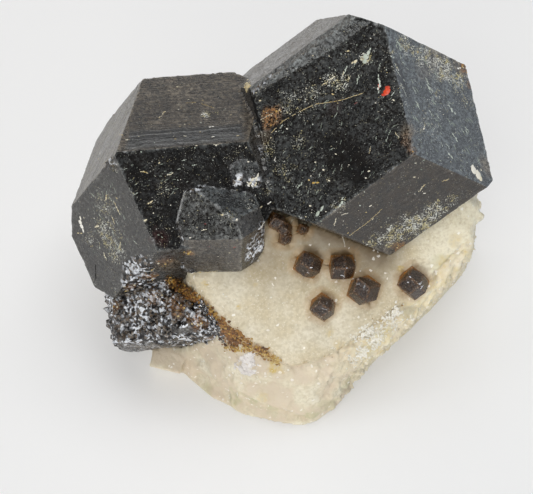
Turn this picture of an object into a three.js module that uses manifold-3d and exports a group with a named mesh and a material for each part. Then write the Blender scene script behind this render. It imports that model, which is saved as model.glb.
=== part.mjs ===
// Garnet in matrix: two large black garnet crystals, a smaller third crystal and a broken stub, all
// grown together in one cluster, set in a lump of white calcite that carries a few small brown garnets.
// Lengths are millimetres and angles degrees. The specimen is described as it faces a viewer, with X to
// the right, Y up and Z towards the viewer, and is then leaned back to rest on its flat broken base.
import * as THREE from 'three';
import { ImprovedNoise } from 'three/addons/math/ImprovedNoise.js';
import { mergeVertices } from 'three/addons/utils/BufferGeometryUtils.js';
import Module from 'manifold-3d';

const wasm = await Module();
wasm.setup();

// How the specimen rests
const leanBack = 40;
const baseDrop = 17.5;

// Drop over which a stone's shelf steps in
const shelfFall = 0.9;

// Clearance between a crystal and the socket that it sits in
const socketGap = 0.3;
const stubSocketGap = 0.5;

// Edge of the blocks that cut flat faces, well past the largest piece
const cutterSize = 160;

// Edge of the block that a garnet is cut from, as a multiple of its reach
const blankRatio = 4;

// How closely a small garnet's footing on the calcite is found
const footingTolerance = 0.003;

// Garnet faces are named by the crystal axes that they cut, with the distance from the crystal's centre
const rightCrystal = {
  centre: [13.94, 13.62, 0],
  turn: [-49.9, 0.4, -120.5],
  reach: 13.5,
  faces: [
    [[1, 0, 1], 13.3], // front
    [[0, 1, 1], 13.0], // right of the front
    [[1, 1, 0], 14.5], // below the front
    [[0, -1, 1], 15.4], // upper left
    [[1, -1, 0], 15.9], // left, towards the other crystal
    [[-1, 0, 1], 11.8], // top
    [[1, 0, -1], 13.3], // bottom
    [[-1, 1, 0], 10.4], // right
    [[0, 1, -1], 10.8], // lower right
    [[-1, -1, 0], 16.15], // upper back
  ],
  bevels: [[[1, -1, 2], 16.2]], // between the front and the upper left
};
const leftCrystal = {
  centre: [-10.56, 8.62, 0],
  turn: [-92.8, 30.3, -121.5],
  reach: 11.5,
  faces: [
    [[1, 0, 1], 9.8], // top of the front
    [[1, 1, 0], 12.1], // front
    [[1, 0, -1], 12.9], // lower left
    [[1, -1, 0], 10.3], // upper left
    [[0, -1, 1], 12.3], // top
    [[0, -1, -1], 13.9], // left back
    [[0, 1, 1], 12.5], // right, towards the other crystal
    [[-1, 1, 0], 9.5], // lower right
    [[0, 1, -1], 12.8], // bottom
  ],
  bevels: [[[1, -2, -1], 12.7]], // between the two left faces
};
const frontCrystal = {
  centre: [-5.63, 3.02, 8.2],
  turn: [-47.2, -51.6, -63.0],
  reach: 5.5,
  faces: [
    [[1, -1, 0], 4.93], // below the front
    [[1, 0, -1], 5.59], // lower right
    [[1, 0, 1], 5.35], // front
    [[1, 1, 0], 6.07], // right of the front
    [[0, 1, -1], 4.35], // right
  ],
  bevels: [[[1, 2, 1], 4.87]], // above the front
};

// A rough stone is a set of broken faces, each an outward direction, its distance from the stone's
// centre and how lumpy it is, with edges as crisp as sharpness says. Its sides step in below the first
// face, each shelf at a depth and by a width
const stub = {
  centre: [-12, -8, -3],
  detail: 7,
  sharpness: 18,
  lumps: [[4.2, 0.5], [1.9, 0.28]],
  shelves: [],
  faces: [
    [[-0.45, 0.05, 0.9], 7.2, 1],
    [[-0.1, -0.35, 0.93], 9, 1],
    [[-0.98, -0.15, 0.1], 7.6, 1],
    [[0.05, -1, 0.15], 4.4, 0.8],
    [[0.9, -0.35, 0.25], 8.2, 1],
    [[0.59, 0.81, 0.1], 3.6, 1],
    [[-0.3, 1, 0], 8, 1],
    [[0, 0, -1], 6, 1],
  ],
};
const calcite = {
  centre: [5, -6, -6],
  detail: 13,
  sharpness: 26,
  lumps: [[7.5, 0.7], [3.4, 0.45]],
  shelves: [[1.2, 0.55], [7, 0.4]],
  faces: [
    [[0.11, -0.24, 0.965], 11.2, 0.35],
    [[-0.7, -0.48, 0.53], 15.5, 1],
    [[-0.72, -0.66, 0.2], 18.7, 0.8],
    [[-0.27, -0.93, 0.25], 17.4, 0.8],
    [[-0.09, -0.65, 0.75], 13.7, 1],
    [[0.25, -0.62, 0.75], 12.8, 1],
    [[0.71, -0.69, 0.12], 12.9, 0.8],
    [[0.97, -0.1, 0.1], 20.8, 1],
    [[0, 1, 0], 14, 1],
    [[0, 0.3, -0.95], 18.5, 1],
    [[-0.95, 0.1, -0.3], 21, 1],
    [[0, -0.64, -0.77], 14, 0.4],
  ],
};

// Cleavage block that juts out of the calcite below the stub
const cleavageBlock = { size: [4.2, 3.4, 7], centre: [-12.5, -14.1, -8.5], turn: [0, 0, -15] };

// Small garnets stand on the calcite's front at these X and Y places
const smallGarnetLift = 0.35;
const smallGarnetUnevenness = 0.05;
const smallGarnets = [
  { place: [5.03, -2.12], reach: 1.45, turn: [20, 10, 15] },
  { place: [9.27, -2.39], reach: 1.45, turn: [5, 15, 45] },
  { place: [11.81, -5.26], reach: 1.65, turn: [40, 5, 20] },
  { place: [6.84, -7.32], reach: 1.35, turn: [10, 30, 5] },
  { place: [17.94, -4.4], reach: 1.6, turn: [8, 18, 4] },
];
const tinyGarnet = { place: [4.4, 2.17], reach: 0.65, turn: [30, 10, 20] };
const tinyGarnetGroup = [
  { place: [2.2, 2.22], reach: 0.8, turn: [15, 25, 10] },
  { place: [2.28, 1.05], reach: 0.75, turn: [40, 0, 30] },
  { place: [1.27, 3.14], reach: 1.0, turn: [0, 35, 20] },
];

const garnetBlack = { color: 0x1d1b1c, roughness: 0.28, metalness: 0 };
const garnetBrown = { color: 0x4b2c20, roughness: 0.3, metalness: 0 };
const calciteWhite = { color: 0xe9dfcf, roughness: 0.85, metalness: 0 };

const noise = new ImprovedNoise();

// Solids and meshes
function toSolid(geometry) {
  geometry.deleteAttribute('normal');
  geometry.deleteAttribute('uv');
  const merged = mergeVertices(geometry);
  return new wasm.Manifold(new wasm.Mesh({
    numProp: 3,
    vertProperties: new Float32Array(merged.attributes.position.array),
    triVerts: new Uint32Array(merged.index.array),
  }));
}

function toMesh(name, solid, look) {
  const { numProp, vertProperties, triVerts } = solid.getMesh();
  const geometry = new THREE.BufferGeometry();
  geometry.setAttribute('position', new THREE.BufferAttribute(vertProperties, numProp));
  geometry.setIndex(new THREE.BufferAttribute(triVerts, 1));
  geometry.computeVertexNormals();
  const mesh = new THREE.Mesh(geometry, new THREE.MeshStandardMaterial({ ...look, flatShading: true }));
  mesh.name = name;
  return mesh;
}

function joined(solids) {
  return solids.reduce((whole, solid) => whole.add(solid));
}

// Everything past a plane, as one large block
function blockBeyond(point, normal) {
  const turn = new THREE.Quaternion().setFromUnitVectors(new THREE.Vector3(0, 0, 1), normal);
  const block = new THREE.BoxGeometry(cutterSize, cutterSize, cutterSize);
  block.translate(0, 0, cutterSize / 2).applyQuaternion(turn).translate(point.x, point.y, point.z);
  return toSolid(block);
}

// A garnet is a block cut by the twelve faces of a rhombic dodecahedron and any narrow bevels
function dodecahedronFaces() {
  const indices = [];
  for (const first of [1, -1]) {
    for (const second of [1, -1]) {
      indices.push([first, second, 0], [first, 0, second], [0, first, second]);
    }
  }
  return indices;
}

function garnetSolid({ centre, turn, reach, faces = [], bevels = [] }, growth = 0) {
  const stated = new Map(faces.map(([index, distance]) => [index.join(), distance]));
  const flats = dodecahedronFaces().map((index) => [index, stated.get(index.join()) ?? reach]);
  const rotation = new THREE.Euler(...turn.map(THREE.MathUtils.degToRad));
  const middle = new THREE.Vector3(...centre);
  const blank = blankRatio * reach;
  let solid = toSolid(new THREE.BoxGeometry(blank, blank, blank).translate(...centre));
  for (const [index, distance] of [...flats, ...bevels]) {
    const normal = new THREE.Vector3(...index).normalize().applyEuler(rotation);
    const point = middle.clone().addScaledVector(normal, distance + growth);
    solid = solid.subtract(blockBeyond(point, normal));
  }
  return solid;
}

// How far a rough stone reaches from its centre along a direction
function stoneReach(stone, direction) {
  let total = 0;
  let lumpiness = 0;
  for (const [normal, distance, lumpy] of stone.faces) {
    const along = new THREE.Vector3(...normal).normalize().dot(direction) / distance;
    const share = Math.max(along, 0) ** stone.sharpness;
    total += share;
    lumpiness += share * lumpy;
  }
  const reach = total ** (-1 / stone.sharpness);
  const point = new THREE.Vector3(...stone.centre).addScaledVector(direction, reach);
  let relief = 0;
  for (const [size, height] of stone.lumps) {
    relief += height * noise.noise(point.x / size, point.y / size, point.z / size);
  }
  const [frontNormal, frontDistance] = stone.faces[0];
  const below = frontDistance - reach * new THREE.Vector3(...frontNormal).normalize().dot(direction);
  let step = 0;
  for (const [depth, width] of stone.shelves) {
    step += width * THREE.MathUtils.smoothstep(below, depth, depth + shelfFall);
  }
  return reach + relief * lumpiness / total - step;
}

function stoneSolid(stone, growth = 0) {
  const geometry = new THREE.IcosahedronGeometry(1, stone.detail);
  const positions = geometry.attributes.position;
  const direction = new THREE.Vector3();
  const point = new THREE.Vector3();
  for (let i = 0; i < positions.count; i += 1) {
    direction.fromBufferAttribute(positions, i).normalize();
    point.set(...stone.centre).addScaledVector(direction, stoneReach(stone, direction) + growth);
    positions.setXYZ(i, point.x, point.y, point.z);
  }
  return toSolid(geometry);
}

// Height of a stone's front at a place, found by halving the span that holds the surface
function frontHeight(stone, [x, y]) {
  const offset = new THREE.Vector3();
  let inside = stone.centre[2];
  let outside = inside + cutterSize / 2;
  while (outside - inside > footingTolerance) {
    const middle = (inside + outside) / 2;
    offset.set(x, y, middle).sub(new THREE.Vector3(...stone.centre));
    const distance = offset.length();
    if (distance < stoneReach(stone, offset.normalize())) {
      inside = middle;
    } else {
      outside = middle;
    }
  }
  return inside;
}

function blockSolid({ size, centre, turn }) {
  const rotation = new THREE.Euler(...turn.map(THREE.MathUtils.degToRad));
  const block = new THREE.BoxGeometry(...size);
  block.applyQuaternion(new THREE.Quaternion().setFromEuler(rotation)).translate(...centre);
  return toSolid(block);
}

// A small garnet where it stands, with faces grown a little unevenly
function standing(garnet) {
  const height = frontHeight(calcite, garnet.place) + smallGarnetLift * garnet.reach;
  const faces = dodecahedronFaces().map((index, i) => {
    const growth = Math.sin(garnet.place[0] + i * i);
    return [index, garnet.reach * (1 + smallGarnetUnevenness * growth)];
  });
  return { ...garnet, faces, centre: [...garnet.place, height] };
}

// The cluster: the large crystals, the front crystal and the stub, in one solid
const largeCrystals = [rightCrystal, leftCrystal, frontCrystal];
const cluster = joined([...largeCrystals.map((crystal) => garnetSolid(crystal)), stoneSolid(stub)]);
const clusterSocket = joined([
  ...largeCrystals.map((crystal) => garnetSolid(crystal, socketGap)),
  stoneSolid(stub, stubSocketGap),
]);

// The small garnets, each clear of the cluster
const garnetNodes = smallGarnets.map((garnet, i) => [`small_garnet_${i + 1}`, [garnet]]);
garnetNodes.push(['tiny_garnet', [tinyGarnet]], ['tiny_garnet_group', tinyGarnetGroup]);

const specimen = new THREE.Group();
let sockets = clusterSocket;
for (const [name, garnets] of garnetNodes) {
  const placed = garnets.map(standing);
  const solid = joined(placed.map((garnet) => garnetSolid(garnet))).subtract(clusterSocket);
  specimen.add(toMesh(name, solid, garnetBrown));
  sockets = sockets.add(joined(placed.map((garnet) => garnetSolid(garnet, socketGap))));
}
specimen.add(toMesh('garnet_cluster', cluster, garnetBlack));

// The calcite, with its flat base and a socket for each garnet
const lean = THREE.MathUtils.degToRad(leanBack);
const down = new THREE.Vector3(0, -Math.sin(lean), -Math.cos(lean));
const belowBase = blockBeyond(down.clone().multiplyScalar(baseDrop), down);
const calciteLump = stoneSolid(calcite).add(blockSolid(cleavageBlock));
const matrix = calciteLump.subtract(belowBase).subtract(sockets);
specimen.add(toMesh('matrix', matrix, calciteWhite));

// Leaned back, with the origin below the middle of the specimen
specimen.rotation.x = lean;
const part = new THREE.Group();
part.add(specimen);
part.updateMatrixWorld(true);
const extent = new THREE.Box3().setFromObject(part, true);
const middle = extent.getCenter(new THREE.Vector3());
specimen.position.set(-middle.x, -middle.y, -extent.min.z);

export default part;
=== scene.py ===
import math

import bmesh
import bpy
import numpy as np
from mathutils import Matrix, Vector, noise
from mathutils.bvhtree import BVHTree
from mathutils.kdtree import KDTree


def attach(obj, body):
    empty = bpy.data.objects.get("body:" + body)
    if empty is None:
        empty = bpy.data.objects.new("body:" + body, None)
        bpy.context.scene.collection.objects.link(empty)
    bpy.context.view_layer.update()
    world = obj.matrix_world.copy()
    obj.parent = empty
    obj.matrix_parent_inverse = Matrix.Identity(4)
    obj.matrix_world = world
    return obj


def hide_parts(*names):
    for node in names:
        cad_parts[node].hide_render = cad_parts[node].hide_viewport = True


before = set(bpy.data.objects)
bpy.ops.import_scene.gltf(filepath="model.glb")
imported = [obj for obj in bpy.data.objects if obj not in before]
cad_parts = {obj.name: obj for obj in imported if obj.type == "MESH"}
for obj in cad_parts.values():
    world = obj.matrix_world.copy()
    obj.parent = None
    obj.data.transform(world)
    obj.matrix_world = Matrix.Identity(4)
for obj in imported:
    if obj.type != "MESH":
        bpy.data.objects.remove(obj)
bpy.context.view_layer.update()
scene = bpy.context.scene
mm = 0.001


# small helpers

def linear(hexColour):  # sRGB hex to linear colour with full alpha
    channels = [int(hexColour[i:i + 2], 16) / 255 for i in (1, 3, 5)]
    return [c / 12.92 if c <= 0.04045 else ((c + 0.055) / 1.055) ** 2.4 for c in channels] + [1.0]


def addNode(tree, kind, inputs=None, stops=(), **settings):  # a node with its settings, inputs and stops
    made = tree.nodes.new(kind)
    for name, value in settings.items():
        setattr(made, name, value)
    for name, value in (inputs or {}).items():
        if isinstance(value, bpy.types.NodeSocket):
            tree.links.new(value, made.inputs[name])
        else:
            made.inputs[name].default_value = value
    while stops and len(made.color_ramp.elements) < len(stops):
        made.color_ramp.elements.new(0.5)
    for i, (place, colour) in enumerate(stops):
        made.color_ramp.elements[i].position = place
        made.color_ramp.elements[i].color = linear(colour)
    return made


# a sum of products of sockets and numbers, where (socket, low, high) stands for that span made 0 to 1
def weighed(tree, *terms):
    total = None
    for factors in terms:
        product = None
        for factor in factors:
            if isinstance(factor, tuple):
                factor = addNode(tree, "ShaderNodeMapRange", dict(
                    zip(("Value", "From Min", "From Max"), factor))).outputs[0]
            product = factor if product is None else addNode(
                tree, "ShaderNodeMath", {0: product, 1: factor}, operation="MULTIPLY").outputs[0]
        total = product if total is None else addNode(
            tree, "ShaderNodeMath", {0: total, 1: product}, operation="ADD").outputs[0]
    return total


def layered(tree, below, colour, *shares):  # a colour laid over another by the product of its shares
    top = linear(colour) if isinstance(colour, str) else colour
    return addNode(tree, "ShaderNodeMix", {0: weighed(tree, shares), 6: below, 7: top},
                   data_type="RGBA").outputs[2]


def newMaterial(name, ior=1.5, roughness=0.5):
    material = bpy.data.materials.new(name)
    material.use_nodes = True
    shader = material.node_tree.nodes["Principled BSDF"]
    shader.inputs["IOR"].default_value = ior
    shader.inputs["Roughness"].default_value = roughness
    return material, material.node_tree, shader


def perMm(size):  # pattern scale on Object coordinates for a feature of this many millimetres
    return 1.0 / (size * mm)


def smoothStep(low, high, value):
    t = np.clip((value - low) / (high - low), 0, 1)
    return t * t * (3 - 2 * t)


def noiseAt(points, size, shift=0.0):  # Perlin noise at points in metres, for features of size mm
    offset = Vector((shift, 2 * shift, -shift))
    return np.array([noise.noise(Vector(point) + offset) for point in points / (size * mm)])


# camera at the photograph's viewing angle

view = {
    "imageSize": (533, 494),
    "pixelsPerMm": 8.0,                  # at the target's depth
    "distance": 260.0,                   # mm from the eye to the target
    "lean": 40.0,                        # degrees that the specimen lies back from upright
    "target": (-1.690, -6.391, 17.5),    # mm, at the picture's middle
    "sensor": 36.0,
    "clipStart": 10.0,
}
lean = Matrix.Rotation(math.radians(view["lean"]), 3, "X")
target = Vector(view["target"]) * mm
eye = target + lean @ Vector((0, 0, view["distance"] * mm))


def makeCamera():
    data = bpy.data.cameras.new("photoCamera")
    data.sensor_width = view["sensor"]
    data.lens = view["sensor"] * view["distance"] * view["pixelsPerMm"] / view["imageSize"][0]
    data.clip_start = view["clipStart"] * mm
    camera = bpy.data.objects.new("photoCamera", data)
    camera.matrix_world = Matrix.Translation(eye) @ lean.to_4x4()
    scene.collection.objects.link(camera)
    scene.camera = camera


def sightLine(pixel):  # direction from the eye through a photo pixel
    across = (pixel[0] - view["imageSize"][0] / 2) / view["pixelsPerMm"] * mm
    up = (view["imageSize"][1] / 2 - pixel[1]) / view["pixelsPerMm"] * mm
    return (target + lean @ Vector((across, up, 0)) - eye).normalized()


def pixelHit(surface, pixel):  # place, normal and face where a pixel's sight line meets a surface
    return surface.ray_cast(eye, sightLine(pixel))[:3]


def pixelOnPlane(pixel, place, normal):
    sight = sightLine(pixel)
    return eye + sight * ((place - eye).dot(normal) / sight.dot(normal))


def pixelsOf(points):  # photo pixels of points in metres
    local = (points - np.array(eye)) @ np.array(lean)
    scale = view["pixelsPerMm"] / mm * view["distance"] * mm / -local[:, 2]
    return np.stack([view["imageSize"][0] / 2 + local[:, 0] * scale,
                     view["imageSize"][1] / 2 - local[:, 1] * scale], axis=1)


makeCamera()
print("camera placed")


# plain pale floor and soft studio light

studio = {
    "floorSize": 4.0,                    # metres
    "floorDrop": 0.05,                   # mm below the base
    "floorColour": "#c4c4c4",
    "floorGlow": 0.60,                   # a lit table, so that shadows on it stay faint
    "floorRoughness": 0.7,
    "horizonColour": "#cfd6de",          # light that the sides of the crystals mirror
    "horizonStrength": 0.62,
    "skyColour": "#8d97a6",
    "skyStrength": 0.03,                 # dark overhead, so that the front faces stay black
    "horizonTop": 0.36,                  # sine of the height where the bright band starts to fade
    "skyBottom": 0.56,
}
softboxes = {                            # watts, width and height, place from the target, in metres
    "keyLight": (1.9, (0.46, 0.4), (0.04, 0.06, 0.52), "#ffffff"),
    "cameraFill": (0.8, (0.24, 0.24), (-0.12, -0.36, 0.5), "#ffffff"),
    "sideSheen": (0.3, (0.36, 0.3), (0.55, 0.19, 0.2), "#e4ecf6"),
    "leftSheen": (0.5, (0.3, 0.3), (-0.45, 0.35, 0.32), "#ffecd4"),
    "frontFill": (1.2, (0.26, 0.16), (-0.12, -0.56, 0.11), "#fffdf8"),
}


def makeFloor():  # matte white board, evenly pale and without a shine
    half = studio["floorSize"] / 2
    mesh = bpy.data.meshes.new("floor")
    corners = [(-half, -half), (half, -half), (half, half), (-half, half)]
    mesh.from_pydata([(x, y, -studio["floorDrop"] * mm) for x, y in corners], [], [(0, 1, 2, 3)])
    floor = bpy.data.objects.new("floor", mesh)
    scene.collection.objects.link(floor)
    paint, tree, shader = newMaterial("matteWhiteFloor", roughness=studio["floorRoughness"])
    shader.inputs["Base Color"].default_value = linear(studio["floorColour"])
    shader.inputs["Emission Color"].default_value = linear(studio["floorColour"])
    shader.inputs["Emission Strength"].default_value = studio["floorGlow"]
    mesh.materials.append(paint)


def makeLight():
    world = bpy.data.worlds.new("studioLight")
    world.use_nodes = True
    scene.world = world
    tree = world.node_tree
    tree.nodes.clear()
    way = addNode(tree, "ShaderNodeTexCoord")
    height = addNode(tree, "ShaderNodeSeparateXYZ", {0: way.outputs["Generated"]})
    share = addNode(tree, "ShaderNodeMapRange", {
        "Value": height.outputs["Z"], "From Min": studio["horizonTop"], "From Max": studio["skyBottom"]},
        interpolation_type="SMOOTHSTEP")
    horizon, sky = [addNode(tree, "ShaderNodeBackground", {
        "Color": linear(studio[part + "Colour"]), "Strength": studio[part + "Strength"]})
        for part in ("horizon", "sky")]
    both = addNode(tree, "ShaderNodeMixShader", {
        0: share.outputs["Result"], 1: horizon.outputs[0], 2: sky.outputs[0]})
    addNode(tree, "ShaderNodeOutputWorld", {"Surface": both.outputs[0]})

    for name, (power, size, place, colour) in softboxes.items():
        data = bpy.data.lights.new(name, "AREA")
        data.shape = "RECTANGLE"
        data.size, data.size_y = size
        data.energy = power
        data.color = linear(colour)[:3]
        lamp = bpy.data.objects.new(name, data)
        way = Vector(place)
        turn = way.to_track_quat("Z", "Y").to_matrix().to_4x4()
        lamp.matrix_world = Matrix.Translation(target + way) @ turn
        scene.collection.objects.link(lamp)
    scene.view_settings.view_transform = "Standard"


makeFloor()
makeLight()
print("studio lit")


# meshes from the CAD nodes

weldGap = 0.001    # mm, corners this near to each other are one
bluntest = 12      # degrees, from which two faces meet in a crystal edge
crease = 28        # degrees, from which shading shows an edge


def mergedNode(name):  # a CAD node's triangles, joined at their shared corners
    work = bmesh.new()
    work.from_mesh(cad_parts[name].data)
    bmesh.ops.remove_doubles(work, verts=work.verts, dist=weldGap * mm)
    work.faces.ensure_lookup_table()
    work.edges.ensure_lookup_table()
    work.normal_update()
    return work


def nodeSurface(name):
    work = mergedNode(name)
    surface = BVHTree.FromBMesh(work)
    work.free()
    return surface


def evaluatedMesh(name, carrier):  # the mesh that an object's modifiers make; the object goes
    shown = carrier.evaluated_get(bpy.context.evaluated_depsgraph_get())
    mesh = bpy.data.meshes.new_from_object(shown)
    mesh.name = name
    bpy.data.objects.remove(carrier)
    return mesh


def evenMesh(name, work, grain):  # the same shape in even quads, grain mm across
    source = bpy.data.meshes.new(name + "Source")
    work.to_mesh(source)
    carrier = bpy.data.objects.new(name + "Source", source)
    scene.collection.objects.link(carrier)
    remesh = carrier.modifiers.new("even", "REMESH")
    remesh.mode = "VOXEL"
    remesh.voxel_size = grain * mm
    return evaluatedMesh(name, carrier)


def getVectors(items, name):
    flat = np.zeros(len(items) * 3)
    items.foreach_get(name, flat)
    return flat.reshape(-1, 3)


def setPoints(mesh, points):
    mesh.vertices.foreach_set("co", points.ravel())
    mesh.update()


def setMarks(mesh, marks, domain="POINT"):  # what the materials and the scatter trees read
    for name, values in marks.items():
        layer = mesh.attributes.new(name, "FLOAT", domain)
        layer.data.foreach_set("value", np.asarray(values, np.float32))


def flatAreas(work):  # area in square mm of the flat face that each triangle belongs to
    keys = []
    areas = {}
    for face in work.faces:
        key = tuple(round(c, 3) for c in face.normal) + (round(face.normal.dot(face.verts[0].co) / mm, 2),)
        keys.append(key)
        areas[key] = areas.get(key, 0) + face.calc_area() / mm ** 2
    return np.array([areas[key] for key in keys])


def nearestOn(tree, points):  # nearest places on a surface, with its normals, face numbers and distances
    found = [tree.find_nearest(Vector(point)) for point in points]
    return [np.array([item[i] for item in found]) for i in range(4)]


def sharpEdges(work, areas, smallestFace):  # crystal edges as start and end points
    ends = []
    for edge in work.edges:
        if len(edge.link_faces) != 2 or edge.calc_face_angle_signed(0) < math.radians(bluntest):
            continue
        if min(areas[face.index] for face in edge.link_faces) > smallestFace:
            ends.append([edge.verts[0].co[:], edge.verts[1].co[:]])
    return np.array(ends)


def snapToEdges(mesh, points, ends, reach):  # points within reach mm of an edge move onto it; all distances
    best = np.full(len(points), 1.0)
    places = points.copy()
    for start, end in ends:
        along = end - start
        share = np.clip((points - start) @ along / (along @ along), 0, 1)
        place = start + share[:, None] * along
        gap = np.linalg.norm(points - place, axis=1)
        closer = gap < best
        best[closer] = gap[closer]
        places[closer] = place[closer]
    near = best < reach * mm
    points[near] = places[near]
    setPoints(mesh, points)
    return best


def facetRelief(points, normals, facets, seed):  # height in metres of broken facets
    size, height, slope = facets
    rng = np.random.default_rng(seed)
    span = points.max(0) - points.min(0)
    count = int(np.prod(span / (size * mm)) * 0.9) + 8     # about one seed to a facet's cube
    seeds = points.min(0) + rng.random((count, 3)) * span
    tree = KDTree(count)
    for i, place in enumerate(seeds):
        tree.insert(place, i)
    tree.balance()
    nearest = np.array([tree.find(point)[1] for point in points])
    lift = rng.uniform(-1, 1, count)[nearest] * height
    tilt = rng.normal(0, slope, (count, 3))[nearest]
    offset = points - seeds[nearest]
    offset -= (offset * normals).sum(1)[:, None] * normals
    return lift * mm + (offset * tilt).sum(1)


def evened(mesh, values):  # values at mesh points, drawn half-way to the mean of their neighbours
    ends = np.zeros(len(mesh.edges) * 2, int)
    mesh.edges.foreach_get("vertices", ends)
    first, second = ends.reshape(-1, 2).T
    total = (np.bincount(first, values[second], len(values))
             + np.bincount(second, values[first], len(values)))
    return 0.5 * values + 0.5 * total / np.bincount(ends, minlength=len(values))


spotCore = 0.45    # share of a spot's radius that it marks in full
spotFray = 0.45    # share of its radius that its rim is frayed by


def spotShare(points, surface, spots, ragged):  # how strongly spots at photo pixels mark each point
    share = np.zeros(len(points))
    for pixel, radius, strength in spots:
        gap = np.linalg.norm(points - np.array(pixelHit(surface, pixel)[0]), axis=1) / (radius * mm)
        gap += ragged * spotFray
        share = np.maximum(share, strength * smoothStep(1.0, spotCore, gap))
    return share


# pixels from a drawn line, positive on its right, and the share of the line's length
def lineGap(pixels, line):
    best = np.full(len(pixels), 1e6)
    side = np.zeros(len(pixels))
    along = np.zeros(len(pixels))
    for i in range(len(line) - 1):
        start, end = np.array(line[i], float), np.array(line[i + 1], float)
        way = end - start
        share = np.clip((pixels - start) @ way / (way @ way), 0, 1)
        offset = pixels - start - share[:, None] * way
        gap = np.linalg.norm(offset, axis=1)
        closer = gap < best
        best[closer] = gap[closer]
        side[closer] = np.sign(way[0] * offset[closer, 1] - way[1] * offset[closer, 0])
        along[closer] = (i + share[closer]) / (len(line) - 1)
    return best * side, along


# 1 well inside a clockwise outline with no inward corners, 0 outside, with a soft rim of feather pixels
def insideOutline(pixels, outline, feather):
    gap = np.full(len(pixels), 1e6)
    for i, start in enumerate(outline):
        start, end = np.array(start, float), np.array(outline[(i + 1) % len(outline)], float)
        way = (end - start) / np.linalg.norm(end - start)
        offset = pixels - start
        gap = np.minimum(gap, way[0] * offset[:, 1] - way[1] * offset[:, 0])
    return smoothStep(0, feather, gap)


def addPiece(name, mesh, slot, *nodes):
    piece = bpy.data.objects.new(name, mesh)
    scene.collection.objects.link(piece)
    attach(piece, "root")
    if nodes:
        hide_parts(*nodes)
    return piece


# cells of size mm, each a facet turned its own way: its height, and a random colour's channels
def tiltedFacets(tree, place, size):
    cells = addNode(tree, "ShaderNodeTexVoronoi", {"Vector": place, "Scale": perMm(size)}).outputs
    offset = addNode(tree, "ShaderNodeVectorMath", {0: place, 1: cells["Position"]}, operation="SUBTRACT")
    tilt = addNode(tree, "ShaderNodeVectorMath", {0: cells["Color"], 1: [0.5] * 3}, operation="SUBTRACT")
    facet = addNode(tree, "ShaderNodeVectorMath", {0: offset.outputs[0], 1: tilt.outputs[0]},
                    operation="DOT_PRODUCT").outputs["Value"]
    return facet, addNode(tree, "ShaderNodeSeparateColor", {0: cells["Color"]}).outputs


def linkLooks(tree, shader, colour, relief, rough=None):  # relief is a height in metres
    bump = addNode(tree, "ShaderNodeBump", {"Height": relief, "Strength": 1.0, "Distance": 1.0})
    tree.links.new(colour, shader.inputs["Base Color"])
    tree.links.new(bump.outputs["Normal"], shader.inputs["Normal"])
    if rough:
        tree.links.new(rough, shader.inputs["Roughness"])


# black andradite garnet: glassy grown faces, near black, with pale flecks, sparkling where broken

blackGarnet = {
    "body": "#0f1011",
    "smoke": "#1a1818",
    "brown": "#33281c",
    "coolFilm": "#8e979b",
    "warmFilm": "#9c9180",
    "speck": "#d2d3cb",
    "yellowSpeck": "#b3a878",
    "ruddy": "#2e0f0c",
    "rust": "#3d2a14",
    "ochre": "#a8702a",
    # colours of broken facets; the pale silver and white ones are painted glints
    "broken": [(0.0, "#0f0d0e"), (0.45, "#1b1715"), (0.58, "#4d3b27"), (0.72, "#71685c"), (0.86, "#aaaeb6"),
               (1.0, "#f0f3f8")],
    "ior": 1.68,               # dusty faces mirror less than fresh garnet's 1.88
    "roughness": 0.05,         # of the cleanest spots
    "clouds": {                # feature size in mm and detail of each noise
        "broad": (2.6, 5.0), "mottle": (0.42, 4.0), "grain": (0.16, 3.0), "earth": (1.1, 4.0),
        "sway": (2.2, 2.0), "speckle": (0.16, 2.0), "clump": (1.5, 3.0), "tint": (0.8, 2.0),
        "dull": (0.5, 5.0)},
    "grooveWidth": 0.26,       # mm
    "grooveSway": 5.0,
    "grooveDepth": 0.13,       # mm
    "toothDepth": 0.11,        # mm
    "thickestFilm": 0.9,
    "facetSize": 0.34,         # mm across a facet of a break
    "facetSlope": 1.3,
    "facetBend": (0.3, 0.25),  # mm, size and reach of the noise that bends the facets' rims
    "toneMiddle": 0.47,        # broad noise that leaves a facet's tone as it is
    "toneSpread": 2.2,
}
faceMarks = ("film", "warm", "specks", "grooves", "tooth")
spotMarks = ("rust", "ruddy", "brown", "sparkle")


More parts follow.
